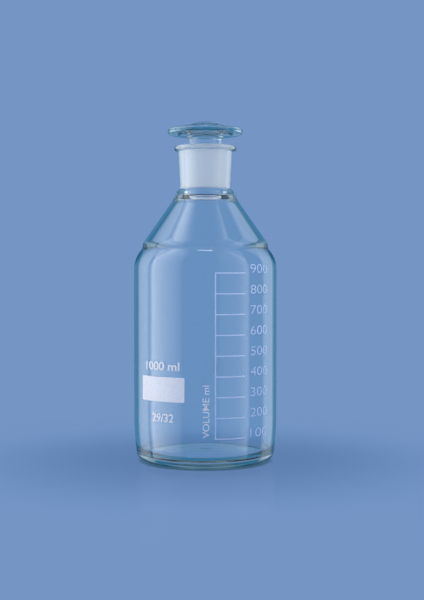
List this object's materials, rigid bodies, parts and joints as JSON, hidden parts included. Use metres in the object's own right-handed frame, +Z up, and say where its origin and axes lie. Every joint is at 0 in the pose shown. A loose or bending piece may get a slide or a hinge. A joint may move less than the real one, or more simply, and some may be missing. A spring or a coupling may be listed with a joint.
{
  "type": "reagent bottle",
  "caption": "Narrow-mouth glass reagent bottle with a conical shoulder, a ground taper neck, a lift-out flat-head stopper and a white volume scale.",
  "frame": {"origin": "on the bottle's axis, in the plane that the foot ring stands on", "axes": "+Z up along the bottle's axis, -Y out through the printed front between the marking spot and the scale"},
  "size_m": [0.1014, 0.1014, 0.2414],
  "materials": {
    "clear_glass": "clear, fire-polished",
    "ground_glass": "frosted inside by grinding, clear rim",
    "stopper_glass": "clear pressed head and waist, ground plug",
    "white_enamel": "fired-on, satin"
  },
  "bodies": {
    "bottle": {"bottle_body": "clear_glass", "neck_socket": "ground_glass", "graduation_scale": "white_enamel", "marking_spot": "white_enamel"},
    "stopper": {"stopper": "stopper_glass"}
  },
  "joints": [
    {"name": "stopper_lift", "type": "slide", "parent": "bottle", "child": "stopper", "axis": [0, 0, 1], "range_m": [0, 0.06]}
  ]
}
